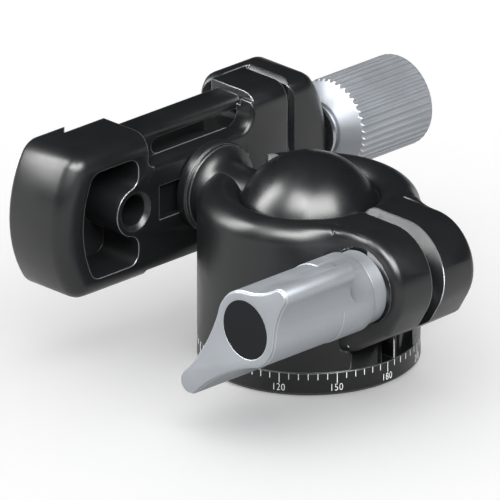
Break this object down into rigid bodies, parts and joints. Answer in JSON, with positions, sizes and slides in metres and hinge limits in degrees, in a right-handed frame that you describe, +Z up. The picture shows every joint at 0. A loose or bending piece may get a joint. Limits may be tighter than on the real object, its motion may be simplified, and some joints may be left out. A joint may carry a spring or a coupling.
{
  "type": "tripod ball head",
  "caption": "Ball head with a split housing clamped by a side lever, a panning base with a degree scale, a drop notch and a screw-knob dovetail clamp.",
  "frame": {"origin": "centre of the base's bottom face, at the mouth of the tripod thread", "axes": "+Z up along the panning axis; +X along the lever's axis towards the clamp knob; +Y the way the stem points in the drop notch"},
  "size_m": [0.0915, 0.072, 0.0386],
  "materials": {
    "black_anodised": "black hard anodised, satin",
    "silver_anodised": "grey anodised, satin",
    "ball_finish": "black hard anodised, smooth",
    "black_cap": "black anodised, satin",
    "steel": "turned",
    "plastic": "acetal",
    "brass": "turned"
  },
  "bodies": {
    "base": {"pan_base": "black_anodised", "thread_bush": "steel", "pan_washer_lower": "plastic", "pan_washer_upper": "plastic", "pan_retainer": "steel", "retainer_screws": "steel"},
    "housing": {"housing": "black_anodised", "bearing_ring": "steel", "disc_spring": "steel", "ball_seat": "plastic", "bolt_nut": "steel", "lever_washer": "steel", "pan_pad": "brass"},
    "pan_lock": {"pan_screw": "steel", "pan_knob": "black_anodised"},
    "lever": {"lever_bolt": "steel", "lever_collar": "silver_anodised", "lever_handle": "silver_anodised", "lever_screw": "steel", "lever_cap": "black_cap"},
    "ball": {"ball": "ball_finish"},
    "clamp": {"ball_stem": "black_anodised", "clamp_body": "black_anodised", "clamp_screw": "steel", "guide_pins": "steel", "jaw_spring": "steel"},
    "jaw": {"jaw": "black_anodised"},
    "knob": {"knob_spindle": "steel", "knob_washer": "steel", "clamp_knob": "silver_anodised", "knob_grub": "steel"}
  },
  "joints": [
    {"name": "pan", "type": "hinge", "parent": "base", "child": "housing", "pos_m": [0, 0, 0.0044], "axis": [0, 0, 1], "continuous": true},
    {"name": "pan_lock_turn", "type": "hinge", "parent": "housing", "child": "pan_lock", "pos_m": [0.02504, 0.00532, 0.007], "axis": [0.9781, 0.2079, 0], "range_deg": [-360, 90]},
    {"name": "lever_turn", "type": "hinge", "parent": "housing", "child": "lever", "pos_m": [0, -0.02315, 0.0226], "axis": [1, 0, 0], "range_deg": [-45, 75]},
    {"name": "ball_tilt", "type": "hinge", "parent": "housing", "child": "ball", "pos_m": [0, 0, 0.0249], "axis": [1, 0, 0], "range_deg": [0, 130]},
    {"name": "stem_spin", "type": "hinge", "parent": "ball", "child": "clamp", "pos_m": [0, 0, 0.0249], "axis": [0, 1, 0], "continuous": true},
    {"name": "jaw_slide", "type": "slide", "parent": "clamp", "child": "jaw", "axis": [1, 0, 0], "range_m": [-0.0009, 0.0045], "deforming": ["jaw_spring"]},
    {"name": "knob_turn", "type": "hinge", "parent": "jaw", "child": "knob", "pos_m": [0.044, 0.03, 0.0249], "axis": [1, 0, 0], "range_deg": [-324, 1620]}
  ],
  "couplings": [
    {"joint": "knob_turn", "follows": "jaw_slide", "rad_per_m": 6283.2}
  ]
}
